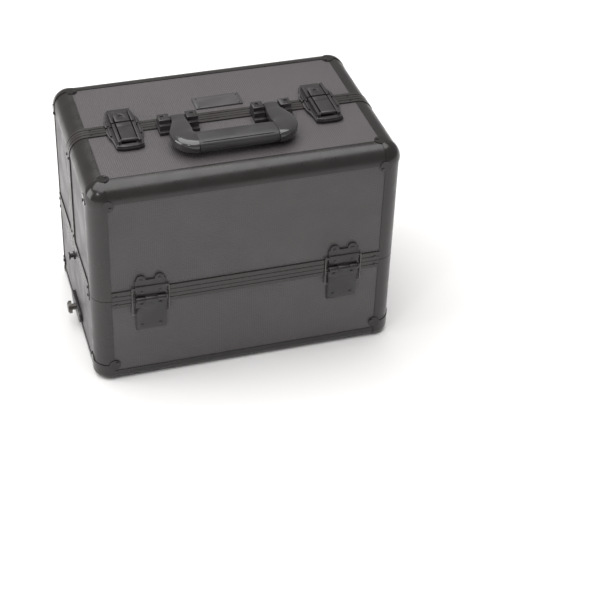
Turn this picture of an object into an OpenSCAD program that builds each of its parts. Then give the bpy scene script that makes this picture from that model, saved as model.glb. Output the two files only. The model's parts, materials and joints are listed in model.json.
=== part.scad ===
// Makeup train case: a rigid box whose two lid halves hinge outward and carry
// three cantilever trays each. Millimetres, +Z up, front face toward -Y.

/* [Case] */
// overall width of the case over its rims
case_w = 368; // [300:1:440]
// overall depth of the case over its rims
case_d = 241; // [200:1:300]
// height of the closed case without its handle
case_h = 273; // [250:1:320]
// height of the waist seam above the floor
base_h = 118; // [90:1:150]
// outside radius of the rounded edges
edge_r = 20; // [12:0.5:22]
// outside radius of the bottom edges
foot_r = 8; // [4:0.5:10]
// width of the edge extrusions on each face
edge_w = 22; // [16:0.5:30]
// width of the edge extrusion along the bottom
foot_w = 14; // [8:0.5:24]

/* [Walls] */
// thickness of the panels
wall_t = 1.8; // [1.2:0.1:4]
// thickness of the edge extrusions over the panels
trim_t = 0.8; // [0.5:0.1:2]
// how far rims and corner caps stand proud of the extrusions
rim_proud = 0.8; // [0.5:0.1:2]
// height of the rim below and above the waist seam
rim_h = 11; // [8:0.5:16]
// width of the rim on each side of the middle seam
seam_w = 10; // [6:0.5:14]
// open gap at each seam
seam_gap = 0.6; // [0.3:0.1:1.5]
// reach of a corner cap along each edge
cap_w = 23; // [20:1:40]
// thickness of the lining in the base
liner_t = 1.2; // [0.8:0.1:2]
// thickness of the base dividers
div_t = 3; // [2:0.5:5]
// height of the base dividers
div_h = 95; // [40:1:100]
// left base divider from the middle of the case
div_left = -60; // [-120:1:-55]
// right base divider from the middle of the case
div_right = 90; // [85:1:120]

/* [Trays] */
// width of each tray
tray_w = 326; // [260:1:330]
// depth of each tray
tray_d = 88; // [70:0.5:92]
// height of each tray
tray_h = 36.5; // [24:0.5:38]
// thickness of the tray walls
tray_t = 1.6; // [1.2:0.1:2.5]
// pitch of the slots that take the tray dividers
slot_pitch = 12.5; // [8:0.5:20]
// rim height of the lowest tray in the closed case
low_top = 174.2; // [170:0.1:180]
// inner edge of the lowest tray from the middle seam
low_in = 13.6; // [8:0.1:20]
// rise from tray to tray in the closed case
tray_step = 38.9; // [38:0.1:42]
// inward shift from tray to tray in the closed case
tray_shift = 3.8; // [0:0.1:6]

/* [Arms] */
// pivot distance from the base to the lowest tray
arm_lo = 51.6; // [44:0.1:60]
// pivot distance from tray to tray
arm_up = 58.2; // [48:0.1:64]
// lean of the arms in the closed case from the outward direction
arm_lean = 123.8; // [110:0.1:135]
// width of an arm
arm_w = 10; // [8:0.5:14]
// thickness of an arm
arm_t = 2; // [1.5:0.1:3]
// radius of the pivot pins
pin_r = 2.5; // [1.5:0.1:3.5]
// radial clearance in every pivot
pin_gap = 0.06; // [0.03:0.01:0.1]
// depth of the lower pivots of an arm pair below the tray rim
piv_dep = 14; // [11:0.5:18]

/* [Hinges and handle] */
// distance of a hinge from the middle of the case
hinge_x = 116; // [80:1:130]
// width of a hinge
hinge_w = 36; // [24:1:50]
// distance of a latch from the middle of the case
latch_x = 118; // [100:1:128]
// width of a latch plate
latch_w = 40; // [30:1:48]
// outside width of the handle
handle_w = 150; // [120:1:180]
// depth of the handle grip
grip_d = 30; // [22:1:36]
// height of the handle grip
grip_h = 16; // [12:1:20]

/* [Hidden] */
$fn = 48;
hx = case_w / 2;
hy = case_d / 2;
tx = hx - rim_proud;            // edge extrusions
ty = hy - rim_proud;
px = tx - trim_t;               // panels, outside
py = ty - trim_t;
ix = px - wall_t;               // panels, inside
iy = py - wall_t;
z_trim = rim_proud;
z_pan = z_trim + trim_t;
z_in = z_pan + wall_t;
rim_i = 2;                      // inward reach of the waist rim past the panel
z_lid = base_h + rim_h + 1;     // lower edge of the lid panels
z_low = base_h - rim_h + 1;     // upper edge of the base panels
gap = seam_gap / 2;
groove = 1.2;                   // fine groove along each rim
tab_r = 7;                      // tabs of the corner caps on the panels
anchor_z = foot_w + 10;         // height of the strap anchors
hinge_y = hy + 3.8;
knuckle_r = 3.5;
leaf_t = 2.4;                   // hinge leaf on the panel, stepped out over the rim
x_tray = tray_w / 2;            // layout of the arm layers beside a tray
x_in = x_tray + 1;              // inner arm layer
x_out = x_tray + 5;             // outer arm layer
x_plate = x_tray + 9;
plate_t = 2.5;
x_link = x_plate + plate_t + 1.1;
piv_arr = piv_dep - (arm_up * sin(arm_lean) - tray_step);
up_dy = arm_up * cos(arm_lean) + tray_shift;  // pivot offset from tray to tray
// pivot places, measured outward from a tray's inner edge
p_top_b = tray_d - 10;
p_top_a = p_top_b - 30;
p_mid = tray_d - 28;
p_long = p_mid - 16;
p_short = 14;
function tin(k) = low_in - k * tray_shift;    // inner edge of tray k (0 lowest)
function ttop(k) = low_top + k * tray_step;   // rim height of tray k
function dep(k, p) = [tin(k) + p, ttop(k) - piv_dep];
function arr(k, p) = [tin(k) + p + up_dy, ttop(k) - piv_arr];
lo_vec = [arm_lo * cos(arm_lean), arm_lo * sin(arm_lean)];
base_short = dep(0, p_short) - lo_vec;
base_long = dep(0, p_long) - lo_vec;
link_q = [104.4, 142.6];        // drive link pivot on the lid
link_off = [0.1, -1.6];         // rest offset of its slack eye from the arm pin

shell_c = [0.16, 0.16, 0.17];
trim_c = [0.09, 0.09, 0.095];
metal_c = [0.72, 0.73, 0.75];
plastic_c = [0.07, 0.07, 0.075];
tray_c = [0.11, 0.11, 0.12];

// ---- shared shapes ----
module sym_x() {
  children();
  mirror([1, 0, 0]) children();
}

module sym_y() {
  children();
  mirror([0, 1, 0]) children();
}

module front() {
  mirror([0, 1, 0]) children();
}

// box between two corners
module bx(a, b) {
  translate(a) cube(b - a);
}

// rounded rectangle, half sizes x and y
module rrect(x, y, r) {
  square([2 * x - 2 * r, 2 * y], center = true);
  square([2 * x, 2 * y - 2 * r], center = true);
  for (i = [-1, 1], j = [-1, 1]) translate([i * (x - r), j * (y - r)]) circle(r);
}

// box rounded on all edges, half sizes x and y, radius r and f along the bottom
module rbox(x, y, z0, z1, r, f) {
  translate([0, 0, z0 + f]) linear_extrude(z1 - z0 - r - f) rrect(x, y, r);
  bx([r - x, r - y, z0 + f], [x - r, y - r, z1]);
  for (j = [-1, 1]) translate([r - x, j * (y - r), z1 - r])
    rotate([0, 90, 0]) cylinder(r = r, h = 2 * x - 2 * r);
  for (i = [-1, 1]) translate([i * (x - r), r - y, z1 - r])
    rotate([-90, 0, 0]) cylinder(r = r, h = 2 * y - 2 * r);
  for (i = [-1, 1], j = [-1, 1]) translate([i * (x - r), j * (y - r), z1 - r]) sphere(r);
  translate([0, 0, z0]) linear_extrude(f) rrect(x - f, y - f, r - f);
  for (j = [-1, 1]) translate([r - x, j * (y - f), z0 + f])
    rotate([0, 90, 0]) cylinder(r = f, h = 2 * x - 2 * r);
  for (i = [-1, 1]) translate([i * (x - f), r - y, z0 + f])
    rotate([-90, 0, 0]) cylinder(r = f, h = 2 * y - 2 * r);
  for (i = [-1, 1], j = [-1, 1]) translate([i * (x - r), j * (y - r), z0 + f])
    rotate_extrude() translate([r - f, 0]) circle(f);
}

// the case's outline, t inside the outer face of its edge extrusions
module outline(t) {
  rbox(tx - t, ty - t, z_trim + t, case_h - rim_proud - t, edge_r - t, foot_r - t);
}

module panel_solid() { outline(trim_t); }
module trim_solid() { outline(0); }
module inner_solid() { outline(trim_t + wall_t); }
module liner_solid(t) { outline(trim_t + wall_t + t); }
module cap_solid() { outline(-rim_proud); }

// zones along all edges that the extrusions cover
module edge_zone() {
  sym_x() sym_y() {
    bx([tx - edge_w, ty - edge_w, -1], [hx + 1, hy + 1, case_h + 1]);
    bx([0, ty - edge_w, case_h - edge_w], [hx, hy + 1, case_h + 1]);
    bx([tx - edge_w, 0, case_h - edge_w], [hx + 1, hy, case_h + 1]);
    bx([0, ty - edge_w, -1], [hx, hy + 1, foot_w]);
    bx([tx - edge_w, 0, -1], [hx + 1, hy, foot_w]);
  }
}

// skin of the extrusions inside the box from a to b
module trim_skin(a, b) {
  intersection() {
    difference() {
      trim_solid();
      panel_solid();
    }
    edge_zone();
    bx(a, b);
  }
}

// cylinder along X between two x values at [y, z]
module xcyl(r, x0, x1, p) {
  translate([x0, p[0], p[1]]) rotate([0, 90, 0]) cylinder(r = r, h = x1 - x0);
}

// flat dome rivet head standing on a face, axis given by a rotation
module rivet(p, rot, r = 2.6) {
  translate(p) rotate(rot) {
    cylinder(r = r, h = 0.6);
    cylinder(r = r * 0.72, h = 1.1);
  }
}

// ---- base ----
module base_shell() {
  color(shell_c) intersection() {
    difference() {
      panel_solid();
      inner_solid();
    }
    bx([-hx, -hy, 0], [hx, hy, z_low]);
  }
}

module base_trim() {
  color(trim_c) trim_skin([-hx, -hy, 0], [hx, hy, base_h - gap]);
}

module rim_plan(out, in) {
  difference() {
    rrect(hx - out, hy - out, edge_r + rim_proud - out);
    rrect(ix - in, iy - in, edge_r - trim_t - wall_t - in);
  }
}

// rim beside the waist seam, clear of the edge extrusions, with a fine groove
module waist_rim(z0, z1) {
  zg = (z0 + z1) / 2;
  difference() {
    translate([0, 0, z0]) linear_extrude(z1 - z0) rim_plan(0, rim_i);
    difference() {
      edge_zone();
      panel_solid();
    }
    translate([0, 0, zg - groove / 2]) linear_extrude(groove) difference() {
      rrect(hx + 1, hy + 1, edge_r);
      rrect(hx - 0.5, hy - 0.5, edge_r);
    }
  }
}

module base_rim() {
  color(trim_c) waist_rim(z_low, base_h - gap);
}

// corner caps with a tab and rivet hole on each panel they meet
module caps(top, s) {
  t = trim_t + rim_proud;
  z = top ? case_h - cap_w : cap_w;
  color(plastic_c) difference() {
    union() {
      intersection() {
        cap_solid();
        union() {
          for (i = [-1, 1], j = s)
            bx([i > 0 ? hx - cap_w : -hx, j > 0 ? hy - cap_w : -hy, top ? z : 0],
               [i > 0 ? hx : cap_w - hx, j > 0 ? hy : cap_w - hy, top ? case_h : z]);
        }
      }
      for (i = [0, 1], j = s) mirror([i, 0, 0]) {
        translate([hx - cap_w, j > 0 ? hy - t : -hy, z]) rotate([-90, 0, 0]) cylinder(r = tab_r, h = t);
        translate([hx - t, j * (hy - cap_w), z]) rotate([0, 90, 0]) cylinder(r = tab_r, h = t);
        if (top) translate([hx - cap_w, j * (hy - cap_w), case_h - t]) cylinder(r = tab_r, h = t);
      }
    }
    panel_solid();
    intersection() {
      trim_solid();
      edge_zone();
    }
  }
}

module base_corner_caps() {
  caps(false, [-1, 1]);
}

module base_liner() {
  color(shell_c) difference() {
    intersection() {
      inner_solid();
      bx([-hx, -hy, 0], [hx, hy, z_low - 1]);
    }
    liner_solid(liner_t);
  }
}

module base_dividers() {
  color(shell_c) intersection() {
    liner_solid(liner_t + 0.1);
    union() {
      for (x = [div_left, div_right]) bx([x - div_t / 2, -iy, 0], [x + div_t / 2, iy, div_h]);
    }
  }
}

// side plates that carry the base pivots of all arms
module end_plates() {
  color(metal_c) sym_x() {
    difference() {
      translate([x_plate, 0, 0]) rotate([90, 0, 90]) linear_extrude(plate_t)
        polygon([[-99, 109], [99, 109], [99, 127], [54, 144], [-54, 144], [-99, 127]]);
      for (j = [-1, 1], p = [base_short, base_long])
        xcyl(pin_r + pin_gap, x_plate - 1, x_plate + plate_t + 1, [j * p[0], p[1]]);
    }
    for (y = [-94, -30, 30, 94]) {
      xcyl(3.5, x_plate + plate_t, ix - rim_i, [y, 112.6]);
      xcyl(3, x_plate - 1, x_plate, [y, 112.6]);
    }
  }
}

module strap_anchor_plates() {
  color(plastic_c) sym_x() difference() {
    union() {
      bx([px, -20, anchor_z - 8], [px + 4, 20, anchor_z + 8]);
      for (j = [-1, 1]) translate([px, j * 20, anchor_z]) rotate([0, 90, 0]) cylinder(r = 8, h = 4);
    }
    xcyl(4, px - 1, px + 5, [0, anchor_z]);
  }
}

module strap_knobs() {
  color(metal_c) sym_x() {
    xcyl(4, px, px + 9, [0, anchor_z]);
    xcyl(8, px + 9, px + 12.5, [0, anchor_z]);
    xcyl(6.4, px + 12.5, px + 13.6, [0, anchor_z]);
  }
}

module rim_studs() {
  color(plastic_c) sym_x() {
    xcyl(5, px, px + 3, [0, base_h - rim_h - 4.6]);
    xcyl(2.6, px + 3, px + 6.5, [0, base_h - rim_h - 4.6]);
    xcyl(4.6, px + 6.5, px + 8.5, [0, base_h - rim_h - 4.6]);
  }
}

// one lower hinge leaf on the back face
module lower_leaf() {
  w = hinge_w / 2;
  difference() {
    union() {
      bx([-w, py, base_h - 46], [w, py + leaf_t, z_low]);
      bx([-w, hy, z_low - leaf_t], [w, hy + 2.4, base_h - 4.2]);
      for (i = [0, 1]) mirror([i, 0, 0]) {
        bx([7.3, hy, base_h - 4.3], [w, hy + 2.4, base_h]);
        xcyl(knuckle_r, 7.3, w, [hinge_y, base_h]);
        bx([7.3, hy + 2.3, base_h - knuckle_r], [w, hinge_y, base_h]);
      }
    }
    xcyl(1.6 + pin_gap, -w - 1, w + 1, [hinge_y, base_h]);
  }
  for (i = [-1, 1]) {
    rivet([i * 11, py + leaf_t, base_h - 40], [-90, 0, 0], 2.2);
    rivet([i * 11, hy + 2.4, base_h - 8.6], [-90, 0, 0], 2.2);
  }
}

module upper_leaf() {
  w = hinge_w / 2;
  difference() {
    union() {
      bx([-w, hy, base_h + 4.2], [w, hy + 2.4, base_h + 17]);
      bx([-w, py, z_lid], [w, py + leaf_t, base_h + 25]);
      for (i = [-1, 1]) {
        bx([i * 11 - 5.5, py, base_h + 24], [i * 11 + 5.5, py + leaf_t, base_h + 27]);
        translate([i * 11, py, base_h + 26]) rotate([-90, 0, 0]) cylinder(r = 5.5, h = leaf_t);
      }
      bx([-7, hy, base_h], [7, hy + 2.4, base_h + 4.3]);
      bx([-7, hy + 2.3, base_h], [7, hinge_y, base_h + knuckle_r]);
      xcyl(knuckle_r, -7, 7, [hinge_y, base_h]);
    }
    xcyl(1.6 + pin_gap, -8, 8, [hinge_y, base_h]);
    for (i = [0, 1]) mirror([i, 0, 0])
      xcyl(1.1 + pin_gap, w - 5, w + 1, [hy + 1.2, base_h + 14]);
  }
  for (i = [-1, 1]) {
    rivet([i * 11, hy + 2.4, base_h + 9], [-90, 0, 0], 2.2);
    rivet([i * 11, py + leaf_t, base_h + 25], [-90, 0, 0], 2.2);
  }
}

module hinge_lower_leaves() {
  color(plastic_c) sym_y() for (i = [-1, 1]) translate([i * hinge_x, 0, 0]) lower_leaf();
}

module hinge_pins() {
  w = hinge_w / 2;
  color(metal_c) sym_y() for (i = [-1, 1]) translate([i * hinge_x, 0, 0]) {
    xcyl(1.6, -w, w, [hinge_y, base_h]);
    xcyl(2.4, w, w + 0.8, [hinge_y, base_h]);
  }
}

// rivets in the cap tabs and at the rim ends, mirrored to both sides
riv = hx - cap_w - 3;
riv_y = hy - cap_w - 3;
module base_rivets() {
  z = cap_w + 3;
  zr = base_h - rim_h / 2 - gap;
  color(metal_c) sym_x() sym_y() {
    rivet([riv, hy, z], [-90, 0, 0], 2);
    rivet([hx, riv_y, z], [0, 90, 0], 2);
    rivet([riv - 2, hy, zr], [-90, 0, 0], 1.8);
    rivet([hx, riv_y - 2, zr], [0, 90, 0], 1.8);
  }
}

// shoulder strap, folded flat and stored in the middle compartment
strap_n = 8;                    // layers
strap_t = 1.8;                  // webbing thickness
strap_w = 38;                   // webbing width
strap_p = 3.2;                  // pitch of the layers
strap_l = 96;                   // straight length of a layer
strap_z = z_in + liner_t + 1.4; // underside of the lowest layer
strap_at = [22, -22];           // middle of the bundle
eye_x = -strap_l / 2 - 8;       // sewn eyes that hold the rings
eye_r = 2.9;
function layer_z(k) = strap_z + k * strap_p;
eyes = [layer_z(0) + eye_r, layer_z(strap_n - 1) + strap_t - eye_r];
module strap_web() {
  color(plastic_c) translate([strap_at[0], strap_at[1], 0]) rotate([90, 0, 0])
    linear_extrude(strap_w, center = true) difference() {
      union() {
        for (k = [0:strap_n - 1])
          translate([-strap_l / 2, layer_z(k)]) square([strap_l, strap_t]);
        for (k = [0:strap_n - 2])
          translate([(k % 2 == 0 ? 1 : -1) * strap_l / 2, layer_z(k) + (strap_p + strap_t) / 2])
            intersection() {
              difference() {
                circle((strap_p + strap_t) / 2);
                circle((strap_p - strap_t) / 2);
              }
              translate([k % 2 == 0 ? 0 : -5, -5]) square([5, 10]);
            }
        for (k = [0, strap_n - 1]) translate([eye_x, layer_z(k)]) square([10, strap_t]);
        for (z = eyes) translate([eye_x, z]) circle(eye_r);
      }
      for (z = eyes) translate([eye_x, z]) circle(1.6);
    }
}

// rectangular wire rings at the two ends of the strap
module strap_rings() {
  r = 1.4;
  color(metal_c) for (z = eyes) translate([strap_at[0] + eye_x - 10, strap_at[1], z]) {
    for (j = [-1, 1]) translate([-10, j * 21, 0]) rotate([0, 90, 0]) cylinder(r = r, h = 20);
    for (i = [-1, 1]) translate([i * 10, -21, 0]) rotate([-90, 0, 0])
      cylinder(r = r, h = 42);
    for (i = [-1, 1], j = [-1, 1]) translate([i * 10, j * 21, 0]) sphere(r);
  }
}

module strap_band() {
  w = strap_w / 2;
  z0 = strap_z - 0.3;
  z1 = layer_z(strap_n - 1) + strap_t + 0.3;
  color([0.8, 0.5, 0.25]) translate([strap_at[0], strap_at[1], 0]) difference() {
    bx([-5, -w - 1.3, z0 - 1], [5, w + 1.3, z1 + 1]);
    bx([-6, -w - 0.3, z0], [6, w + 0.3, z1]);
  }
}

// ---- lids, drawn as the back half ----
module lid_shell() {
  color(shell_c) intersection() {
    difference() {
      panel_solid();
      inner_solid();
    }
    bx([-hx, seam_w, z_lid], [hx, hy, case_h]);
  }
}

module lid_trim() {
  color(trim_c) trim_skin([-hx, seam_w, base_h + gap], [hx, hy, case_h]);
}

// arch-shaped rim beside the middle seam, over the sides and the top
module arch(out) {
  x = hx - out;
  r = edge_r + rim_proud - out;
  translate([-x, z_lid]) square([2 * x, case_h - out - r - z_lid]);
  translate([r - x, z_lid]) square([2 * x - 2 * r, case_h - out - z_lid]);
  for (i = [-1, 1]) translate([i * (x - r), case_h - out - r]) circle(r);
}

module seam_rim() {
  difference() {
    translate([0, seam_w, 0]) rotate([90, 0, 0]) linear_extrude(seam_w) difference() {
      arch(0);
      arch(hx - ix);
    }
    translate([0, (seam_w + groove) / 2, 0]) rotate([90, 0, 0]) linear_extrude(groove)
      difference() {
        translate([-hx - 1, z_lid - 1]) square([2 * hx + 2, case_h]);
        arch(0.5);
      }
  }
}

module lid_rim() {
  color(trim_c) intersection() {
    union() {
      waist_rim(base_h + gap, z_lid);
      seam_rim();
    }
    bx([-hx, gap, base_h], [hx, hy, case_h]);
  }
}

module lid_rivets() {
  z = case_h - cap_w - 3;
  zr = base_h + rim_h / 2 + gap;
  color(metal_c) sym_x() {
    rivet([riv, hy, z], [-90, 0, 0], 2);
    rivet([hx, riv_y, z], [0, 90, 0], 2);
    rivet([riv, riv_y, case_h], [0, 0, 0], 2);
    rivet([riv - 2, hy, zr], [-90, 0, 0], 1.8);
    rivet([hx, riv_y - 2, zr], [0, 90, 0], 1.8);
    rivet([riv - 2, seam_w / 2, case_h], [0, 0, 0], 1.8);
    rivet([hx, seam_w / 2, z - 2], [0, 90, 0], 1.8);
    rivet([hx, seam_w / 2, zr + rim_h], [0, 90, 0], 1.8);
  }
}

// studs inside the lid that the drive links swing on
module link_studs() {
  color(metal_c) sym_x() intersection() {
    inner_solid();
    union() {
      xcyl(2, x_link - 0.9, ix, link_q);
      xcyl(3.6, x_link - 0.9, x_link - 0.3, link_q);
    }
  }
}

module front_lid_shell() { front() lid_shell(); }
module front_lid_trim() { front() lid_trim(); }
module front_lid_rim() { front() lid_rim(); }
module front_corner_caps() { caps(true, [-1]); }
module front_lid_rivets() { front() lid_rivets(); }
module front_link_studs() { front() link_studs(); }
module back_lid_shell() { lid_shell(); }
module back_lid_trim() { lid_trim(); }
module back_lid_rim() { lid_rim(); }
module back_corner_caps() { caps(true, [1]); }
module back_lid_rivets() { lid_rivets(); }
module back_link_studs() { link_studs(); }

module back_hinge_leaves() {
  color(plastic_c) for (i = [-1, 1]) translate([i * hinge_x, 0, 0]) upper_leaf();
}

module front_hinge_leaves() {
  front() back_hinge_leaves();
}

// wire stays beside each hinge, pivoted in the upper leaf
module back_stay_wires() {
  w = hinge_w / 2;
  y = hy + 1.2;
  color(plastic_c) for (i = [-1, 1]) translate([i * hinge_x, 0, 0])
    for (j = [0, 1]) mirror([j, 0, 0]) {
      xcyl(1.1, w - 4, w + 3.5, [y, base_h + 14]);
      translate([w + 3.5, y, base_h + 14]) sphere(1.1);
      translate([w + 3.5, y, base_h - 22]) cylinder(r = 1.1, h = 36);
      translate([w + 3.5, y, base_h - 22]) sphere(1.1);
      xcyl(1.1, w + 0.5, w + 3.5, [y, base_h - 22]);
    }
}

module front_stay_wires() {
  front() back_stay_wires();
}

// ---- top fittings ----
hb_x0 = 33;                     // handle bracket from hb_x0 to hb_x1
hb_x1 = 80;
hp = [-11, case_h + 9];         // handle pivot [y, z]
arm_x0 = 46.5;                  // handle end between the bracket ears
arm_x1 = 65.5;
module handle_brackets() {
  color(plastic_c) sym_x() difference() {
    union() {
      bx([hb_x0, -26, case_h - rim_proud - trim_t], [hb_x1, -seam_w, case_h + 2.5]);
      bx([hb_x0, -seam_w, case_h], [hb_x1, -1.5, case_h + 2.5]);
      for (x = [hb_x0, arm_x1 + 0.5]) {
        bx([x, -22, case_h + 2.4], [x + arm_x0 - 0.5 - hb_x0, -2, case_h + 9]);
        bx([x, -18, case_h + 8.9], [x + arm_x0 - 0.5 - hb_x0, -4, case_h + 14]);
      }
    }
    xcyl(3 + pin_gap, hb_x0 + 5, hb_x1 - 5, hp);
    for (x = [hb_x0 + 4, hb_x1 - 8]) bx([x, -15.5, case_h + 12.6], [x + 4, -7, case_h + 15]);
  }
}

grip_y = -68;                   // middle of the grip
grip_x = 48;                    // half length of the ribbed grip
module handle_grip() {
  rr = 7.5;
  color(plastic_c) translate([-grip_x, grip_y, case_h + 11]) rotate([90, 0, 90])
    linear_extrude(2 * grip_x) rrect(grip_d / 2, grip_h / 2, rr);
}

// curved end pieces from the grip back to the pivots
module handle_ends() {
  rr = 6.5;
  x1 = handle_w / 2;
  color(plastic_c) sym_x() union() {
    union() {
      intersection() {
        translate([grip_x, grip_y, case_h + 11]) rotate([90, 0, 90])
          linear_extrude(x1 - grip_x) rrect(grip_d / 2 - 0.8, grip_h / 2 - 0.8, rr);
        union() {
          bx([grip_x - 1, -90, case_h], [x1 - 13, -40, case_h + 25]);
          bx([grip_x - 1, grip_y + 2, case_h], [x1, -40, case_h + 25]);
          translate([x1 - 15, grip_y + 2, case_h]) cylinder(r = 15, h = 25);
        }
      }
      translate([0, 0, case_h + 4.5]) linear_extrude(9)
        polygon([[arm_x0, hp[0]], [arm_x1, hp[0]], [arm_x1, -27], [x1 - 1, grip_y + 10], [x1 - 1, grip_y],
                 [x1 - 20, grip_y], [grip_x + 0.2, grip_y + 13], [arm_x0, -40]]);
      xcyl(4.5, arm_x0, arm_x1, hp);
      xcyl(3, hb_x0 + 6, hb_x1 - 6, hp);
    }
  }
}

// latch drawn at x = 0; lever and wire stop short of the seam
lz = case_h;
lp = [-36, lz + 6.2];           // lever pivot [y, z]
bp = [-18, lz + 4.5];           // wire pivot [y, z]
wire_y = -2.6;                  // free end of the wire
lev_w = 8.6;                    // half width of the lever
module latch_plate() {
  difference() {
    union() {
      translate([0, 0, lz]) linear_extrude(2.4)
        polygon([[-latch_w / 2, -1.5], [latch_w / 2, -1.5], [latch_w / 2 + 1.5, -9],
                 [latch_w / 2, -20], [17.5, -28], [16, -45], [8, -47.5], [-8, -47.5], [-16, -45],
                 [-17.5, -28], [-latch_w / 2, -20], [-latch_w / 2 - 1.5, -9]]);
      translate([0, 0, lz - rim_proud - trim_t]) linear_extrude(rim_proud + trim_t + 0.1)
        polygon([[-latch_w / 2 + 1, -seam_w], [latch_w / 2 - 1, -seam_w],
                 [latch_w / 2 - 1, -22], [14, -45], [-14, -45], [1 - latch_w / 2, -22]]);
      for (i = [0, 1]) mirror([i, 0, 0]) {
        bx([10.2, -41, lz + 2.3], [13.4, -1.5, lz + 8]);
        bx([16.4, -20, lz + 2.3], [18.4, -1.5, lz + 4.4]);
      }
      translate([0, 0, lz + 2.3]) linear_extrude(2)
        polygon([[15.5, -44], [8, -46.6], [-8, -46.6], [-15.5, -44], [-14.5, -40.5], [14.5, -40.5]]);
    }
    xcyl(1.5 + pin_gap, -13.5, 13.5, lp);
  }
}

module latch_plates() {
  color(plastic_c) for (x = [-latch_x, latch_x]) translate([x, 0, 0]) latch_plate();
}

module latch_keeper() {
  translate([0, 0, lz]) linear_extrude(2.4)
    polygon([[-latch_w / 2, 1.5], [latch_w / 2, 1.5], [latch_w / 2 + 1, 8], [latch_w / 2, 15],
             [17, 22], [15.5, 32], [11, 38], [-11, 38], [-15.5, 32], [-17, 22],
             [-latch_w / 2, 15], [-latch_w / 2 - 1, 8]]);
  translate([0, 0, lz - rim_proud - trim_t]) linear_extrude(rim_proud + trim_t + 0.1)
    polygon([[1 - latch_w / 2, seam_w], [latch_w / 2 - 1, seam_w], [latch_w / 2 - 1, 14],
             [10, 37], [-10, 37], [1 - latch_w / 2, 14]]);
  for (i = [0, 1]) mirror([i, 0, 0]) {
    bx([10.2, 1.5, lz + 2.3], [13.4, 29, lz + 8]);
    bx([16.4, 1.5, lz + 2.3], [18.4, 13, lz + 4.4]);
  }
  // lock boss with a hook lip for the wire and a keyhole
  difference() {
    union() {
      bx([-lev_w, 1.5, lz + 2.3], [lev_w, 15, lz + 8.6]);
      translate([0, 15, lz + 2.3]) cylinder(r = lev_w, h = 6.3);
    }
    bx([-6.8, 1, lz + 2.4], [6.8, 6, lz + 3.6]);
    bx([-6.8, 3, lz + 2.4], [6.8, 6, lz + 6]);
    translate([0, 13, lz + 7.2]) cylinder(r = 2.4, h = 2);
    bx([-0.8, 7, lz + 7.2], [0.8, 13, lz + 9]);
  }
}

module latch_keepers() {
  color(plastic_c) for (x = [-latch_x, latch_x]) translate([x, 0, 0]) latch_keeper();
}

module latch_lever() {
  color(plastic_c) difference() {
    union() {
      bx([-lev_w, lp[0], lz + 6.2], [lev_w, -1.5, lz + 8.6]);
      xcyl(2.6, -lev_w, lev_w, lp);
      xcyl(1.5, -13, 13, lp);
      for (i = [0, 1]) mirror([i, 0, 0]) bx([6.8, -31, lz + 3], [lev_w, -12, lz + 6.3]);
    }
    xcyl(1 + pin_gap, -lev_w - 1, lev_w + 1, bp);
    bx([-lev_w - 1, -10.6, lz + 8], [lev_w + 1, -10, lz + 10]);
  }
}

module left_latch_lever() { translate([-latch_x, 0, 0]) latch_lever(); }
module right_latch_lever() { translate([latch_x, 0, 0]) latch_lever(); }

module latch_bail() {
  r = 1;
  color(metal_c) for (i = [0, 1]) mirror([i, 0, 0]) {
    xcyl(r, 5.4, 8.4, bp);
    translate([5.4, bp[0], bp[1]]) sphere(r);
    translate([5.4, bp[0], bp[1]]) rotate([-90, 0, 0]) cylinder(r = r, h = wire_y - bp[0]);
    translate([5.4, wire_y, bp[1]]) sphere(r);
    xcyl(r, 0, 5.4, [wire_y, bp[1]]);
  }
}

module left_latch_bail() { translate([-latch_x, 0, 0]) latch_bail(); }
module right_latch_bail() { translate([latch_x, 0, 0]) latch_bail(); }

module badge_plate() {
  color(metal_c) {
    bx([-26, 20, case_h - rim_proud - trim_t], [31, 45, case_h]);
    for (i = [0, 1], j = [0, 1]) rivet([-22 + i * 49, 23.5 + j * 18, case_h], [0, 0, 0], 1.6);
  }
}

// ---- trays and arms, drawn as the back half ----
module tray(k) {
  y0 = tin(k);
  z0 = ttop(k) - tray_h;
  n = floor((tray_w - 16) / slot_pitch);
  color(tray_c) translate([0, y0, z0]) difference() {
    union() {
      difference() {
        bx([-x_tray, 0, 0], [x_tray, tray_d, tray_h]);
        bx([tray_t - x_tray, tray_t, tray_t], [x_tray - tray_t, tray_d - tray_t, tray_h + 1]);
      }
      for (x = [-81, 0, 81])
        bx([x - 0.8, tray_t / 2, tray_t / 2], [x + 0.8, tray_d - tray_t / 2, tray_h - 7]);
    }
    for (i = [0:n]) bx([(i - n / 2) * slot_pitch - 1, -1, tray_h - 3.5],
                       [(i - n / 2) * slot_pitch + 1, tray_d + 1, tray_h + 1]);
    for (p = k == 0 ? [dep(0, p_short), dep(0, p_long), dep(0, p_mid)]
           : k == 1 ? [arr(1, p_long), arr(1, p_mid), dep(1, p_top_a), dep(1, p_top_b)]
           : [arr(2, p_top_a), arr(2, p_top_b)])
      xcyl(pin_r + pin_gap, -x_tray - 1, x_tray + 1, [p[0] - y0, p[1] - z0]);
  }
}

// flat bar in the plane x = x0, with round ends a little wider than the bar
module bar(p, q, x0) {
  d = q - p;
  w = arm_w / 2 - 0.5;
  translate([x0, p[0], p[1]]) rotate([atan2(d[1], d[0]), 0, 0])
    bx([0, 0, -w], [arm_t, norm(d), w]);
  xcyl(arm_w / 2, x0, x0 + arm_t, p);
  xcyl(arm_w / 2, x0, x0 + arm_t, q);
}

// pin from an arm into a tray's end wall, with a head inside the tray
module tray_pin(p, x0) {
  xcyl(pin_r, x_tray - tray_t - 1.1, x0 + arm_t, p);
  xcyl(4.2, x_tray - tray_t - 1.1, x_tray - tray_t - 0.3, p);
  xcyl(3.8, x0 + arm_t - 0.1, x0 + arm_t + 0.9, p);
}

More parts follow.
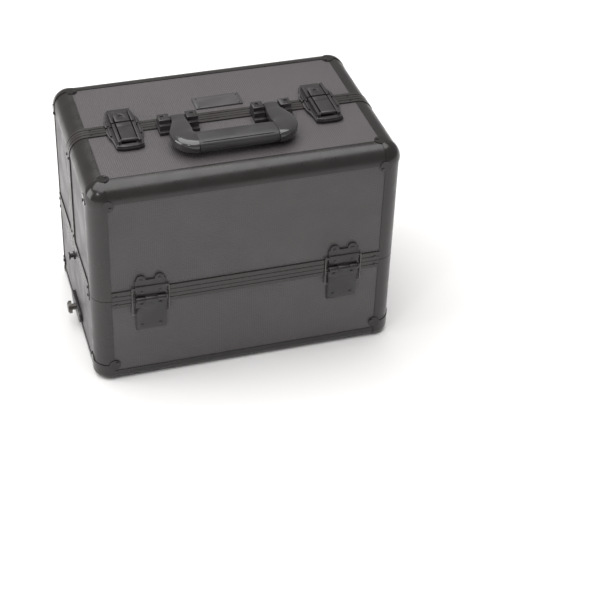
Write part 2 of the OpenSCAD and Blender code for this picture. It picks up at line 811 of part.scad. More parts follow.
module plate_pin(p) {
  xcyl(pin_r, x_out, x_plate + plate_t + 1, p);
  xcyl(4.2, x_plate + plate_t + 0.2, x_plate + plate_t + 0.9, p);
  xcyl(3.8, x_out - 0.9, x_out + 0.1, p);
}

module short_arms() {
  color(metal_c) sym_x() {
    bar(base_short, dep(0, p_short), x_out);
    plate_pin(base_short);
    tray_pin(dep(0, p_short), x_out);
  }
}

module long_arms() {
  color(metal_c) sym_x() {
    bar(base_long, arr(1, p_long), x_out);
    plate_pin(base_long);
    tray_pin(arr(1, p_long), x_out);
    tray_pin(dep(0, p_long), x_out);
    xcyl(1.8, x_out, x_link + 2.6, dep(0, p_long));
    xcyl(4.6, x_link + 2, x_link + 2.6, dep(0, p_long));
  }
}

module mid_arms() {
  color(metal_c) sym_x() {
    bar(dep(0, p_mid), arr(1, p_mid), x_out);
    tray_pin(dep(0, p_mid), x_out);
    tray_pin(arr(1, p_mid), x_out);
  }
}

module top_arms(p) {
  color(metal_c) sym_x() {
    bar(dep(1, p), arr(2, p), x_in);
    tray_pin(dep(1, p), x_in);
    tray_pin(arr(2, p), x_in);
  }
}

// thin link from the lid to the pin of the long arm
module drive_links() {
  a = dep(0, p_long) + link_off;
  color(metal_c) sym_x() difference() {
    union() {
      translate([x_link, link_q[0], link_q[1]])
        rotate([atan2(a[1] - link_q[1], a[0] - link_q[0]), 0, 0])
          bx([0, 0, -2.5], [1.6, norm(a - link_q), 2.5]);
      xcyl(4, x_link, x_link + 1.6, link_q);
      xcyl(6, x_link, x_link + 1.6, a);
    }
    xcyl(2 + pin_gap, x_link - 1, x_link + 3, link_q);
    xcyl(3.8, x_link - 1, x_link + 3, a);
  }
}

module back_low_tray() { tray(0); }
module back_mid_tray() { tray(1); }
module back_top_tray() { tray(2); }
module front_low_tray() { front() tray(0); }
module front_mid_tray() { front() tray(1); }
module front_top_tray() { front() tray(2); }
module back_short_arms() { short_arms(); }
module back_long_arms() { long_arms(); }
module back_mid_arms() { mid_arms(); }
module back_top_arms_a() { top_arms(p_top_a); }
module back_top_arms_b() { top_arms(p_top_b); }
module back_drive_links() { drive_links(); }
module front_short_arms() { front() short_arms(); }
module front_long_arms() { front() long_arms(); }
module front_mid_arms() { front() mid_arms(); }
module front_top_arms_a() { front() top_arms(p_top_a); }
module front_top_arms_b() { front() top_arms(p_top_b); }
module front_drive_links() { front() drive_links(); }

base_shell();
base_trim();
base_rim();
base_corner_caps();
base_liner();
base_dividers();
end_plates();
strap_anchor_plates();
strap_knobs();
rim_studs();
hinge_lower_leaves();
hinge_pins();
base_rivets();
strap_web();
strap_rings();
strap_band();
front_lid_shell();
front_lid_trim();
front_lid_rim();
front_corner_caps();
front_hinge_leaves();
front_lid_rivets();
front_link_studs();
handle_brackets();
latch_plates();
back_lid_shell();
back_lid_trim();
back_lid_rim();
back_corner_caps();
back_hinge_leaves();
back_lid_rivets();
back_link_studs();
latch_keepers();
badge_plate();
front_stay_wires();
back_stay_wires();
handle_grip();
handle_ends();
left_latch_lever();
right_latch_lever();
left_latch_bail();
right_latch_bail();
front_low_tray();
front_mid_tray();
front_top_tray();
back_low_tray();
back_mid_tray();
back_top_tray();
front_short_arms();
front_long_arms();
front_mid_arms();
front_top_arms_a();
front_top_arms_b();
front_drive_links();
back_short_arms();
back_long_arms();
back_mid_arms();
back_top_arms_a();
back_top_arms_b();
back_drive_links();
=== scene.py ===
"""Makeup train case: the looks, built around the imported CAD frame. Metres, +Z up."""
import json
import math

import bmesh
import bpy
from mathutils import Matrix, Vector


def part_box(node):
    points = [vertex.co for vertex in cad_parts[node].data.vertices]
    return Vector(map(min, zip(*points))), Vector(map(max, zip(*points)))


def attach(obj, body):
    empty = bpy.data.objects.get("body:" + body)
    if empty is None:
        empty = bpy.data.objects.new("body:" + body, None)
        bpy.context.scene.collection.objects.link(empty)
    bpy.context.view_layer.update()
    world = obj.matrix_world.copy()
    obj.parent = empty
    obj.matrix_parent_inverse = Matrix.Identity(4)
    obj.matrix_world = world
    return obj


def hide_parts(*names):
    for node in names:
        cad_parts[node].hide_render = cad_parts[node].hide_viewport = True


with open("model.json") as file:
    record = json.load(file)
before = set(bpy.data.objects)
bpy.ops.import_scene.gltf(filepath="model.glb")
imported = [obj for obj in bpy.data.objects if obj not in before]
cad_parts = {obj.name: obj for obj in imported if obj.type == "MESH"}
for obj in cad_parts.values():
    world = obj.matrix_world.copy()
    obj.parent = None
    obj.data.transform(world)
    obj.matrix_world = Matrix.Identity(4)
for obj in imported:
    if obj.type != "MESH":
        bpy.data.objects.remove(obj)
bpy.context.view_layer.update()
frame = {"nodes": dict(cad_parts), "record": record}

MM = 0.001
TAU = 2 * math.pi
WELD = 1e-6                                    # points closer than this are one point
NODES = frame["nodes"]
SLOT = {part["node"]: part["material_slot"] for part in frame["record"]["subparts"]}
BODY = {node: body for body, nodes in frame["record"]["behaviour"]["bodies"].items() for node in nodes}

base_lo, base_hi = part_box("base_liner")
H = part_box("front_corner_caps")[1][2]          # top of the case


# ---------------------------------------------------------------- camera, floor, light
def make_camera():
    """Long lens from above and to the left of the front."""
    azimuth, elevation, roll = math.radians(-15.27), math.radians(35.21), math.radians(0.44)
    target = Vector((0.0067, -0.008, 0.1373))
    distance = 1.8279
    back = Vector((math.sin(azimuth) * math.cos(elevation),
                   -math.cos(azimuth) * math.cos(elevation), math.sin(elevation)))
    camera = bpy.data.objects.new("camera", bpy.data.cameras.new("camera"))
    camera.data.lens = 90.1
    camera.data.shift_x = 0.119
    camera.data.shift_y = -0.146
    camera.data.clip_end = 30
    turn = back.to_track_quat("Z", "Y").to_matrix().to_4x4() @ Matrix.Rotation(roll, 4, "Z")
    camera.matrix_world = Matrix.Translation(target + back * distance) @ turn
    bpy.context.scene.collection.objects.link(camera)
    bpy.context.scene.camera = camera


def make_light(name, place, target, size, power):
    """Square area light, aimed at a point."""
    data = bpy.data.lights.new(name, "AREA")
    data.size = size
    data.energy = power
    light = bpy.data.objects.new(name, data)
    aim = (Vector(place) - Vector(target)).to_track_quat("Z", "Y").to_matrix().to_4x4()
    light.matrix_world = Matrix.Translation(place) @ aim
    bpy.context.scene.collection.objects.link(light)


def make_studio():
    """White floor, dim white surroundings, a large soft box overhead and two from the left."""
    scene = bpy.context.scene
    scene.view_settings.view_transform = "Standard"
    world = bpy.data.worlds.new("studio")
    scene.world = world
    world.use_nodes = True
    shade = world.node_tree.nodes["Background"]
    shade.inputs["Color"].default_value = (1.0, 0.985, 0.975, 1)
    shade.inputs["Strength"].default_value = 0.34
    make_light("overhead", (-0.2, 0.25, 2.4), (0, 0, 0), 3.0, 84)
    make_light("key", (-1.0, -1.0, 1.35), (0, 0, 0.2), 0.2, 2.6)
    make_light("side", (-2.0, 0.2, 0.75), (0, 0, 0.15), 1.3, 20)
    bm = bmesh.new()
    bmesh.ops.create_grid(bm, x_segments=4, y_segments=4, size=5)
    floor = make_object("floor", bm)
    floor.data.materials.append(floor_material())


# ---------------------------------------------------------------- materials
class Nodes:
    """Builds one material around a Principled shader, in the object's own coordinates."""

    def __init__(self, name, colour, rough, **sockets):
        self.material = bpy.data.materials.new(name)
        self.material.use_nodes = True
        self.tree = self.material.node_tree
        self.shader = self.tree.nodes["Principled BSDF"]
        self.shader.inputs["Base Color"].default_value = (*colour, 1)
        self.shader.inputs["Roughness"].default_value = rough
        for key, value in sockets.items():
            self.shader.inputs[key.replace("_", " ").title().replace("Ior", "IOR")].default_value = value
        self.colour, self.rough = colour, rough
        self.place = self.add("ShaderNodeTexCoord").outputs["Object"]

    def add(self, kind, **values):
        node = self.tree.nodes.new(kind)
        for key, value in values.items():
            setattr(node, key, value)
        return node

    def link(self, source, socket):
        self.tree.links.new(source, socket)

    def scaled(self, scale):
        """The object's coordinates, scaled along each axis."""
        node = self.add("ShaderNodeMapping")
        self.link(self.place, node.inputs["Vector"])
        node.inputs["Scale"].default_value = scale
        return node.outputs["Vector"]

    def noise(self, scale, detail=2.0, where=None, contrast=0.5):
        node = self.add("ShaderNodeTexNoise")
        self.link(where or self.place, node.inputs["Vector"])
        node.inputs["Scale"].default_value = scale
        node.inputs["Detail"].default_value = detail
        node.inputs["Roughness"].default_value = contrast
        return node.outputs["Fac"]

    def cells(self, scale):
        node = self.add("ShaderNodeTexVoronoi", feature="F1")
        self.link(self.place, node.inputs["Vector"])
        node.inputs["Scale"].default_value = scale
        return node.outputs["Distance"]

    def math(self, operation, a, b=0.0, clamp=False):
        node = self.add("ShaderNodeMath", operation=operation, use_clamp=clamp)
        for socket, value in zip(node.inputs, (a, b)):
            if isinstance(value, (int, float)):
                socket.default_value = value
            else:
                self.link(value, socket)
        return node.outputs[0]

    def remap(self, value, low, high, to_low, to_high):
        node = self.add("ShaderNodeMapRange")
        self.link(value, node.inputs["Value"])
        for socket, number in zip(("From Min", "From Max", "To Min", "To Max"), (low, high, to_low, to_high)):
            node.inputs[socket].default_value = number
        return node.outputs["Result"]

    def waves(self, pitch):
        """Sum of a cosine along each axis: a square lattice of dots on every flat side."""
        split = self.add("ShaderNodeSeparateXYZ")
        self.link(self.scaled([TAU / pitch] * 3), split.inputs[0])
        x, y, z = (self.math("COSINE", output) for output in split.outputs)
        return self.math("ADD", self.math("ADD", x, y), z)

    def tint(self, fac, low, high, dark=0.8, light=1.25):
        """The base colour, from darker to lighter as fac goes from low to high."""
        node = self.add("ShaderNodeValToRGB")
        self.link(fac, node.inputs["Fac"])
        for element, place, factor in zip(node.color_ramp.elements, (low, high), (dark, light)):
            element.position = place
            element.color = (*(min(1.0, c * factor) for c in self.colour), 1)
        return node.outputs["Color"]

    def blend(self, fac, a, b):
        """Colour a, turning to colour b where fac is 1."""
        node = self.add("ShaderNodeMix", data_type="RGBA")
        self.link(fac, node.inputs["Factor"])
        for socket, value in zip((node.inputs[6], node.inputs[7]), (a, b)):
            if isinstance(value, tuple):
                socket.default_value = (*value, 1)
            else:
                self.link(value, socket)
        return node.outputs[2]

    def edges(self, radius):
        """1 on sharp edges, 0 on flats, broken up by noise."""
        bevel = self.add("ShaderNodeBevel", samples=4)
        bevel.inputs["Radius"].default_value = radius
        facing = self.add("ShaderNodeVectorMath", operation="DOT_PRODUCT")
        self.link(bevel.outputs["Normal"], facing.inputs[0])
        self.link(self.add("ShaderNodeNewGeometry").outputs["Normal"], facing.inputs[1])
        mask = self.remap(facing.outputs["Value"], 0.985, 0.86, 0.0, 1.0)
        return self.math("MULTIPLY", mask, self.remap(self.noise(180), 0.4, 0.62, 0.0, 1.0), clamp=True)

    def paint(self, colour):
        self.link(colour, self.shader.inputs["Base Color"])

    def vary_rough(self, fac, spread, low=0.35, high=0.65):
        self.link(self.remap(fac, low, high, self.rough - spread, self.rough + spread),
                  self.shader.inputs["Roughness"])

    def bump(self, *heights):
        """Stacked bumps, each (height, depth in metres, strength)."""
        normal = None
        for height, depth, strength in heights:
            node = self.add("ShaderNodeBump")
            node.inputs["Strength"].default_value = strength
            node.inputs["Distance"].default_value = depth
            self.link(height, node.inputs["Height"])
            if normal:
                self.link(normal, node.inputs["Normal"])
            normal = node.outputs["Normal"]
        self.link(normal, self.shader.inputs["Normal"])


def floor_material():
    m = Nodes("floor", (0.93, 0.925, 0.92), 0.75)
    m.paint(m.tint(m.noise(3), 0.3, 0.7, 0.99, 1.01))
    return m.material


def panel_material():
    """Charcoal laminate embossed with a fine lattice of dots, faintly mottled."""
    m = Nodes("panel", (0.061, 0.0545, 0.0568), 0.40, specular_ior_level=0.5)
    dots = m.waves(2.3 * MM)
    mottle = m.noise(9, 4)
    base = m.tint(mottle, 0.3, 0.7, 0.9, 1.1)
    shade = m.remap(dots, -2.2, 2.2, 0.0, 0.55)
    m.paint(m.blend(shade, base, (0.102, 0.091, 0.095)))
    m.vary_rough(m.noise(28, 3), 0.07)
    m.bump((dots, 0.12 * MM, 0.55), (m.noise(700), 0.05 * MM, 0.25))
    return m.material


def extrusion_material(name, colour, rough):
    """Black anodised aluminium: satin, slightly uneven, with a fine blasted grain."""
    m = Nodes(name, colour, rough, specular_ior_level=0.55)
    m.paint(m.tint(m.noise(14, 5), 0.3, 0.7, 0.88, 1.14))
    m.vary_rough(m.noise(45, 4), 0.06)
    m.bump((m.noise(420, 2), 0.02 * MM, 0.12))
    return m.material


def cap_material():
    """Smooth moulded corner, glossier than the extrusions."""
    m = Nodes("cap", (0.017, 0.0148, 0.0142), 0.20)
    m.paint(m.tint(m.noise(30, 3), 0.3, 0.7, 0.85, 1.2))
    m.vary_rough(m.noise(60, 4), 0.06)
    m.bump((m.noise(260), 0.05 * MM, 0.12))
    return m.material


def lining_material():
    """Black foam sheet: soft, dull, fine open grain."""
    m = Nodes("lining", (0.046, 0.041, 0.038), 0.7, sheen_weight=0.15)
    m.paint(m.tint(m.noise(80, 4), 0.3, 0.7, 0.75, 1.4))
    m.bump((m.cells(1400), 0.12 * MM, 0.4), (m.noise(60), 0.3 * MM, 0.15))
    return m.material


def bright_material(name, colour, rough, along):
    """Bright metal, brushed along one axis."""
    m = Nodes(name, colour, rough, metallic=1.0)
    stretch = [1.0 if axis == along else 40.0 for axis in "xyz"]
    grain = m.noise(28, 3, m.scaled(stretch), 0.7)
    smudge = m.noise(22, 4)
    m.paint(m.tint(smudge, 0.3, 0.7, 0.9, 1.05))
    m.vary_rough(grain, 0.09)
    m.bump((grain, 0.03 * MM, 0.3))
    return m.material


def moulded_material(name, colour, rough, grain=900, worn=0.2):
    """Textured black moulding or coated casting with slightly rubbed edges."""
    m = Nodes(name, colour, rough)
    base = m.tint(m.noise(24, 4), 0.3, 0.7, 0.86, 1.16)
    m.paint(m.blend(m.math("MULTIPLY", m.edges(0.5 * MM), worn), base, (0.2, 0.19, 0.185)))
    m.vary_rough(m.noise(50, 3), 0.07)
    m.bump((m.noise(grain, 2), 0.06 * MM, 0.4))
    return m.material


def gloss_material():
    """Polished black plastic."""
    m = Nodes("handle_end", (0.030, 0.028, 0.029), 0.16, coat_weight=0.5, coat_roughness=0.05)
    m.paint(m.tint(m.noise(30, 3), 0.3, 0.7, 0.9, 1.15))
    m.vary_rough(m.noise(90, 5), 0.05)
    m.bump((m.noise(140, 3), 0.03 * MM, 0.08))
    return m.material


def grip_material():
    """Soft black rubber with a fine grain."""
    m = Nodes("grip", (0.027, 0.0252, 0.0255), 0.44, specular_ior_level=0.55)
    m.paint(m.tint(m.noise(35, 4), 0.3, 0.7, 0.85, 1.2))
    m.vary_rough(m.noise(70, 4), 0.08)
    m.bump((m.cells(1100), 0.06 * MM, 0.3))
    return m.material


def webbing_material():
    """Black polyester webbing: basket weave with fibres."""
    m = Nodes("webbing", (0.026, 0.025, 0.025), 0.78, sheen_weight=0.35, sheen_roughness=0.5)
    split = m.add("ShaderNodeSeparateXYZ")
    m.link(m.scaled([TAU / (2.4 * MM)] * 3), split.inputs[0])
    across = m.math("COSINE", m.math("ADD", split.outputs[0], split.outputs[2]))
    weave = m.math("MULTIPLY", across, m.math("COSINE", split.outputs[1]))
    fibre = m.noise(60, 3, m.scaled((60, 14, 60)), 0.7)
    shade = m.remap(weave, -1, 1, 0.0, 1.0)
    m.paint(m.blend(shade, (0.017, 0.016, 0.016), (0.05, 0.048, 0.047)))
    m.bump((weave, 0.25 * MM, 0.7), (fibre, 0.1 * MM, 0.3))
    return m.material


def band_material():
    m = Nodes("band", (0.62, 0.34, 0.14), 0.5, subsurface_weight=0.15)
    m.paint(m.tint(m.noise(60, 3), 0.3, 0.7, 0.8, 1.15))
    m.bump((m.noise(500, 2), 0.05 * MM, 0.3))
    return m.material


def wire_material():
    m = Nodes("wire", (0.045, 0.042, 0.041), 0.28, specular_ior_level=0.7)
    m.paint(m.tint(m.noise(200, 3), 0.35, 0.65, 0.7, 1.4))
    m.vary_rough(m.noise(160, 3), 0.1)
    m.bump((m.noise(900), 0.03 * MM, 0.3))
    return m.material


def make_materials():
    """One finished material for every slot of the record."""
    return {
        "panel": panel_material(),
        "edge_trim": extrusion_material("edge_trim", (0.017, 0.0147, 0.0141), 0.30),
        "rim": extrusion_material("rim", (0.026, 0.0225, 0.0218), 0.3),
        "cap": cap_material(),
        "lining": lining_material(),
        "plate": bright_material("plate", (0.80, 0.80, 0.79), 0.32, "y"),
        "hardware": moulded_material("hardware", (0.024, 0.0215, 0.0215), 0.34),
        "stud": bright_material("stud", (0.16, 0.15, 0.14), 0.32, "z"),
        "rivet": moulded_material("rivet", (0.030, 0.028, 0.028), 0.28),
        "wire": wire_material(),
        "webbing": webbing_material(),
        "band": band_material(),
        "badge": moulded_material("badge", (0.060, 0.057, 0.058), 0.38, grain=400),
        "grip": grip_material(),
        "handle_end": gloss_material(),
        "tray": moulded_material("tray", (0.078, 0.076, 0.079), 0.40, grain=1300, worn=0.3),
        "arm": bright_material("arm", (0.78, 0.78, 0.77), 0.26, "y"),
    }


# ---------------------------------------------------------------- mesh helpers
def make_object(name, bm):
    """A new object from a bmesh, which is freed."""
    mesh = bpy.data.meshes.new(name)
    bm.to_mesh(mesh)
    bm.free()
    piece = bpy.data.objects.new(name, mesh)
    bpy.context.scene.collection.objects.link(piece)
    return piece


def finish_piece(name, bm, body, slot, smooth=True, replaced=()):
    """A finished piece: riding its body, in its slot's material, standing for CAD nodes."""
    bmesh.ops.recalc_face_normals(bm, faces=bm.faces)
    for face in bm.faces:
        face.smooth = smooth
    piece = make_object(name, bm)
    piece.data.materials.append(MATERIALS[slot])
    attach(piece, body)
    if replaced:
        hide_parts(*replaced)
    return piece


def softened(node, width):
    """A copy of a CAD node with its sharp edges rounded, which stands for the node."""
    flat, sharp = math.radians(0.6), math.radians(32)
    bm = bmesh.new()
    bm.from_mesh(NODES[node].data)
    bmesh.ops.remove_doubles(bm, verts=bm.verts, dist=WELD)
    bmesh.ops.dissolve_limit(bm, angle_limit=flat, verts=bm.verts, edges=bm.edges)
    piece = finish_piece(node + "_soft", bm, BODY[node], SLOT[node], replaced=(node,))
    bevel = piece.modifiers.new("edges", "BEVEL")
    bevel.width = width
    bevel.segments = 2
    bevel.limit_method = "ANGLE"
    bevel.angle_limit = sharp
    bevel.use_clamp_overlap = True
    bevel.harden_normals = True
    return piece


def loft(bm, rings, close_ends=True):
    """Skin between rings of points; every ring has the same count."""
    made = [[bm.verts.new(point) for point in ring] for ring in rings]
    count = len(rings[0])
    for near, far in zip(made, made[1:]):
        for i in range(count):
            j = (i + 1) % count
            bm.faces.new((near[i], near[j], far[j], far[i]))
    if close_ends:
        bm.faces.new(list(reversed(made[0])))
        bm.faces.new(made[-1])


def smooth_path(points, steps):
    """Catmull-Rom curve through rows of numbers, such as a place with sizes."""
    rows = [[2 * a - b for a, b in zip(points[0], points[1])], *points,
            [2 * a - b for a, b in zip(points[-1], points[-2])]]
    path = []
    for p0, p1, p2, p3 in zip(rows, rows[1:], rows[2:], rows[3:]):
        for step in range(steps):
            t = step / steps
            path.append([0.5 * (2 * b + (c - a) * t + (2 * a - 5 * b + 4 * c - d) * t * t
                                + (3 * b - a - 3 * c + d) * t ** 3)
                         for a, b, c, d in zip(p0, p1, p2, p3)])
    path.append(list(points[-1]))
    return path


def rounded_section(count, half_a, half_b, power):
    """Points around a superellipse: a rectangle with soft corners."""
    section = []
    for i in range(count):
        angle = TAU * i / count
        c, s = math.cos(angle), math.sin(angle)
        section.append((half_a * math.copysign(abs(c) ** (2 / power), c),
                        half_b * math.copysign(abs(s) ** (2 / power), s)))
    return section


# ---------------------------------------------------------------- handle
def make_grip():
    """Ribbed middle of the handle: two grooves on top, fine ribs along the front and below."""
    (x0, y0, z0), (x1, y1, z1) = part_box("handle_grip")
    mid_y, mid_z = (y0 + y1) / 2, (z0 + z1) / 2
    inset = 0.4 * MM
    half_y, half_z = (y1 - y0) / 2 - inset, (z1 - z0) / 2 - inset
    # grooves, in half turns from +Y: two on top, six low on the front, four low at the back
    grooves = [0.27, 0.73, 1.06, 1.11, 1.16, 1.21, 1.26, 1.31, 1.69, 1.74, 1.79, 1.84]
    groove_width, groove_depth = 0.013, 1.1 * MM
    end_share, bulge = 0.97, 0.02
    section = rounded_section(240, 1.0, 1.0, 3.4)
    shape = []
    for i, (a, b) in enumerate(section):
        turn = 2 * i / len(section)
        cut = sum(math.exp(-((turn - g) / groove_width) ** 2) for g in grooves)
        shape.append((a, b, min(1.0, cut)))
    rings = []
    count = 28
    for k in range(count + 1):
        share = k / count
        from_end = min(share, 1 - share) * count
        depth = 0.0 if from_end < 2 else groove_depth
        size = (1.0 if from_end >= 1 else end_share) * (1 + bulge * math.sin(math.pi * share))
        rings.append([(x0 + (x1 - x0) * share,
                       mid_y + a * (half_y - depth * cut) * size,
                       mid_z + b * (half_z - depth * cut) * size) for a, b, cut in shape])
    bm = bmesh.new()
    loft(bm, rings)
    finish_piece("ribbed_grip", bm, "handle", "grip", replaced=("handle_grip",))


def make_handle_ends():
    """Glossy arms that sweep from the brackets round into the grip, with their pivot pins."""
    pivot_y, pivot_z = -11.0, H / MM + 9
    lo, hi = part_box("handle_grip")
    grip_y, grip_z = (lo[1] + hi[1]) / 2 / MM, (lo[2] + hi[2]) / 2 / MM
    pin_x0, pin_x1, pin_r, chamfer = 38.6, 72.8, 2.9, 0.4
    end_round = 0.8                                # how much smaller the first section is
    # x, y, z, half width in plan, half thickness, in millimetres
    stations = [
        (56.0, pivot_y + 5.0, pivot_z, 9.5, 4.4),
        (56.0, pivot_y - 8.5, pivot_z + 0.4, 9.5, 5.0),
        (56.6, -27, pivot_z + 0.8, 11.0, 5.6),
        (58.4, -38, pivot_z + 1.3, 12.9, 6.3),
        (59.8, -48, grip_z - 0.4, 14.2, 6.9),
        (59.0, -57, grip_z, 14.9, 7.4),
        (55.5, -64.4, grip_z, 15.1, 7.8),
        (50.5, grip_y + 0.4, grip_z, 15.1, 7.95),
        (46.2, grip_y, grip_z, 15.1, 7.95),
    ]
    path = smooth_path(stations, 8)
    section = rounded_section(72, 1.0, 1.0, 3.6)
    circle = rounded_section(24, 1.0, 1.0, 2.0)
    for side, label in ((-1, "left"), (1, "right")):
        bm = bmesh.new()
        rings = []
        for k, (x, y, z, wide, thick) in enumerate(path):
            before, after = path[max(0, k - 1)], path[min(len(path) - 1, k + 1)]
            along = Vector((after[0] - before[0], after[1] - before[1], 0)).normalized()
            across = Vector((-along.y, along.x, 0))
            soft = end_round if k == 0 else 0.0
            rings.append([(side * (x + across.x * a * (wide - soft)) * MM,
                           (y + across.y * a * (wide - soft)) * MM,
                           (z + b * (thick - soft)) * MM) for a, b in section])
        loft(bm, rings)
        loft(bm, [[(side * x * MM, (pivot_y + a * r) * MM, (pivot_z + b * r) * MM) for a, b in circle]
                  for x, r in ((pin_x0, pin_r - chamfer), (pin_x0 + chamfer, pin_r),
                               (pin_x1 - chamfer, pin_r), (pin_x1, pin_r - chamfer))])
        finish_piece(label + "_handle_arm", bm, "handle", "handle_end",
                     replaced=("handle_ends",) if side < 0 else ())


# ---------------------------------------------------------------- lip behind the middle seam
def make_seam_lip():
    """Lip fixed inside the back half's rim, reaching just past the seam so no light shows through."""
    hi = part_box("back_lid_trim")[1]
    wall, corner, foot = 2.6, 20.0, 126.0
    radius = corner - wall
    centre_x, centre_z = hi[0] / MM - corner, hi[2] / MM - corner
    # y, depth in from the rim's inner face, in millimetres
    section = [(-0.7, 0.35), (0.8, 0.35), (0.8, -0.2), (7.0, -0.2), (7.0, 1.4), (-0.7, 1.4)]
    steps = 8
    arcs = [TAU / 4 * k / steps for k in range(steps + 1)]
    stations = [(-centre_x, foot, TAU / 2)]
    stations += [(-centre_x, centre_z, TAU / 2 - angle) for angle in arcs]
    stations += [(centre_x, centre_z, TAU / 4 - angle) for angle in arcs]
    stations.append((centre_x, foot, 0.0))
    bm = bmesh.new()
    loft(bm, [[((x + math.cos(angle) * (radius - d)) * MM, y * MM,
                (z + math.sin(angle) * (radius - d)) * MM) for y, d in section]
              for x, z, angle in stations])
    finish_piece("seam_lip", bm, "back_lid", "rim", smooth=False)


# ---------------------------------------------------------------- ribs inside base and trays
def upright_rib(bm, along, wall, inward, turned, z0, z1, radius):
    """Half-round rib on a wall: across X at y = wall, or, turned, across Y at x = wall."""
    facets, end_share = 6, 0.3
    rings = []
    for z, share in ((z0, end_share), (z0 + radius, 1), (z1 - radius, 1), (z1, end_share)):
        ring = []
        for k in range(facets + 1):
            angle = math.pi * k / facets
            u = along + radius * math.cos(angle)
            v = wall + inward * radius * math.sin(angle) * share
            ring.append((v, u, z) if turned else (u, v, z))
        rings.append(ring)
    loft(bm, rings)


def make_liner_ribs():
    """Moulded upright ribs on the four inner walls of the base and on both dividers."""
    lining = 1.2 * MM
    corner = 24 * MM
    pitch, radius = 6.5 * MM, 1.1 * MM
    z0, z1 = base_lo[2] + 10 * MM, base_hi[2] - 3 * MM
    half_x, half_y = base_hi[0] - lining, base_hi[1] - lining
    bm = bmesh.new()
    for reach, wall, turned in ((half_x - corner, half_y, False), (half_y - corner, half_x, True)):
        count = int(2 * reach / pitch)
        for side in (-1, 1):
            for i in range(count + 1):
                upright_rib(bm, (i - count / 2) * pitch, side * wall, -side, turned, z0, z1, radius)
    lo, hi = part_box("base_dividers")
    thick = 3 * MM
    count = int(2 * (half_y - corner) / pitch)
    for x, side in ((lo[0], -1), (lo[0] + thick, 1), (hi[0] - thick, -1), (hi[0], 1)):
        for i in range(count + 1):
            upright_rib(bm, (i - count / 2) * pitch, x, side, True, z0, hi[2] - 2 * MM, radius)
    finish_piece("liner_ribs", bm, BODY["base_liner"], "lining")


def make_tray_ribs(node):
    """Divider guides on a tray's long inner walls, and a row of pips along its floor."""
    (x0, y0, z0), (x1, y1, z1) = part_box(node)
    wall, pitch, radius = 1.6 * MM, 12.5 * MM, 0.9 * MM
    partitions = (-81 * MM, 0.0, 81 * MM)
    end_margin, clear, below_rim = 16 * MM, 2.2 * MM, 4.2 * MM
    pip_out, pip_radius = 5 * MM, 0.9 * MM
    count = int((x1 - x0 - end_margin) / pitch) - 1
    bm = bmesh.new()
    for y, inward in ((y0 + wall, 1), (y1 - wall, -1)):
        for i in range(count + 1):
            x = (i - count / 2) * pitch
            if min(abs(x - p) for p in partitions) < clear:
                continue
            upright_rib(bm, x, y, inward, False, z0 + wall, z1 - below_rim, radius)
            place = Matrix.Translation((x, y + inward * pip_out, z0 + wall))
            bmesh.ops.create_uvsphere(bm, u_segments=10, v_segments=6, radius=pip_radius, matrix=place)
    finish_piece(node + "_ribs", bm, BODY[node], "tray")


# ---------------------------------------------------------------- shoulder strap
def strap_line(left, right, z_first, layers, pitch):
    """(x, z) along the middle of the webbing: an eye, the folded layers, and the other eye."""
    eye = 2.0 * MM                                 # middle of the webbing round the ring wire
    eye_x = left - 8 * MM
    first_lap, last_lap = 14 * MM, 6 * MM          # where each sewn end stops
    steps, sag_depth, sag_rate = 24, 0.35 * MM, 3.1
    line = []

    def turn(x, z, r, start, sweep, turn_steps=9):
        for k in range(1, turn_steps):
            angle = start + sweep * k / turn_steps
            line.append((x + r * math.cos(angle), z + r * math.sin(angle)))

    line.append((left + first_lap, z_first + 2 * eye))
    line.append((eye_x, z_first + 2 * eye))
    turn(eye_x, z_first + eye, eye, math.pi / 2, math.pi)
    line.append((eye_x, z_first))
    for k in range(layers):
        z = z_first + k * pitch
        start, end = (left, right) if k % 2 == 0 else (right, left)
        for i in range(steps + 1):
            share = i / steps
            sag = sag_depth * math.sin(math.pi * share) * math.sin(sag_rate * share + k)
            line.append((start + (end - start) * share, z + sag))
        if k < layers - 1:
            out = 1 if k % 2 == 0 else -1
            turn(end, z + pitch / 2, pitch / 2, -math.pi / 2, out * math.pi)
    z_last = z_first + (layers - 1) * pitch
    line.append((eye_x, z_last))
    turn(eye_x, z_last - eye, eye, math.pi / 2, math.pi)
    line.append((eye_x, z_last - 2 * eye))
    line.append((left + last_lap, z_last - 2 * eye))
    return line


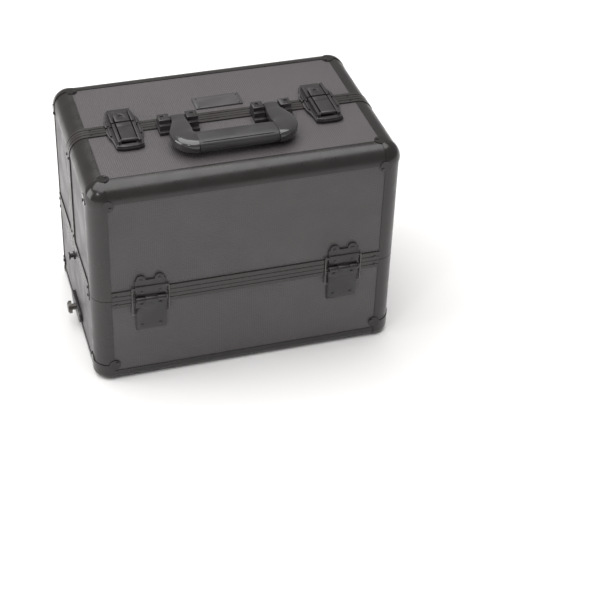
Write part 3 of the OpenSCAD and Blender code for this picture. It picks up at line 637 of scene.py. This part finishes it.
def make_band(mid_x, mid_y, mid_z, half_y, half_z):
    """Rubber band round the folded strap, with soft edges."""
    skin, edge_in, inner_in = 0.5 * MM, -0.35 * MM, -0.9 * MM
    wide, flat = 5 * MM, 4 * MM                    # half widths, whole and without the soft edge
    profile = ((-wide, edge_in), (-flat, 0.0), (flat, 0.0), (wide, edge_in),
               (wide, edge_in), (flat, inner_in), (-flat, inner_in), (-wide, edge_in))
    bm = bmesh.new()
    loft(bm, [[(mid_x + x, mid_y + a, mid_z + b)
               for a, b in rounded_section(64, half_y + skin + grow, half_z + skin + grow, 9)]
              for x, grow in profile], close_ends=False)
    bmesh.ops.remove_doubles(bm, verts=bm.verts, dist=WELD)
    return finish_piece("rubber_band", bm, BODY["strap_band"], "band", replaced=("strap_band",))


def make_strap():
    """Webbing folded in eight layers, with a sewn eye round each ring and a rubber band."""
    lo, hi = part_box("strap_web")
    layers, thick, pitch, straight = 8, 1.8 * MM, 3.2 * MM, 96 * MM
    across, cloth, band_room = 12, 1.3 * MM, 0.8 * MM
    mid_x = hi[0] - (pitch + thick) / 2 - straight / 2
    mid_y, width = (lo[1] + hi[1]) / 2, hi[1] - lo[1]
    line = strap_line(mid_x - straight / 2, mid_x + straight / 2, lo[2] + thick / 2, layers, pitch)

    bm = bmesh.new()
    rows = [[bm.verts.new((x, mid_y + (j / across - 0.5) * width, z)) for j in range(across + 1)]
            for x, z in line]
    for near, far in zip(rows, rows[1:]):
        for j in range(across):
            bm.faces.new((near[j], near[j + 1], far[j + 1], far[j]))
    strap = finish_piece("folded_strap", bm, BODY["strap_web"], "webbing", replaced=("strap_web",))
    solid = strap.modifiers.new("thickness", "SOLIDIFY")
    solid.thickness = cloth
    solid.offset = 0

    band = make_band(mid_x, mid_y, (lo[2] + hi[2]) / 2,
                     width / 2 + band_room, (hi[2] - lo[2]) / 2 + band_room)


# ---------------------------------------------------------------- build
MATERIALS = make_materials()
for node_name, node_object in NODES.items():
    node_object.data.materials.clear()
    node_object.data.materials.append(MATERIALS[SLOT[node_name]])

make_camera()
make_studio()
for node_name, edge in (
        ("latch_plates", 0.5), ("latch_keepers", 0.5), ("left_latch_lever", 0.5), ("right_latch_lever", 0.5),
        ("front_hinge_leaves", 0.4), ("back_hinge_leaves", 0.4), ("hinge_lower_leaves", 0.4),
        ("handle_brackets", 0.8), ("strap_anchor_plates", 0.7), ("badge_plate", 0.3), ("base_dividers", 0.4)):
    softened(node_name, edge * MM)
make_grip()
make_handle_ends()
make_seam_lip()
make_liner_ribs()
for tray_name in sorted(name for name in NODES if name.endswith("_tray")):
    make_tray_ribs(tray_name)
make_strap()
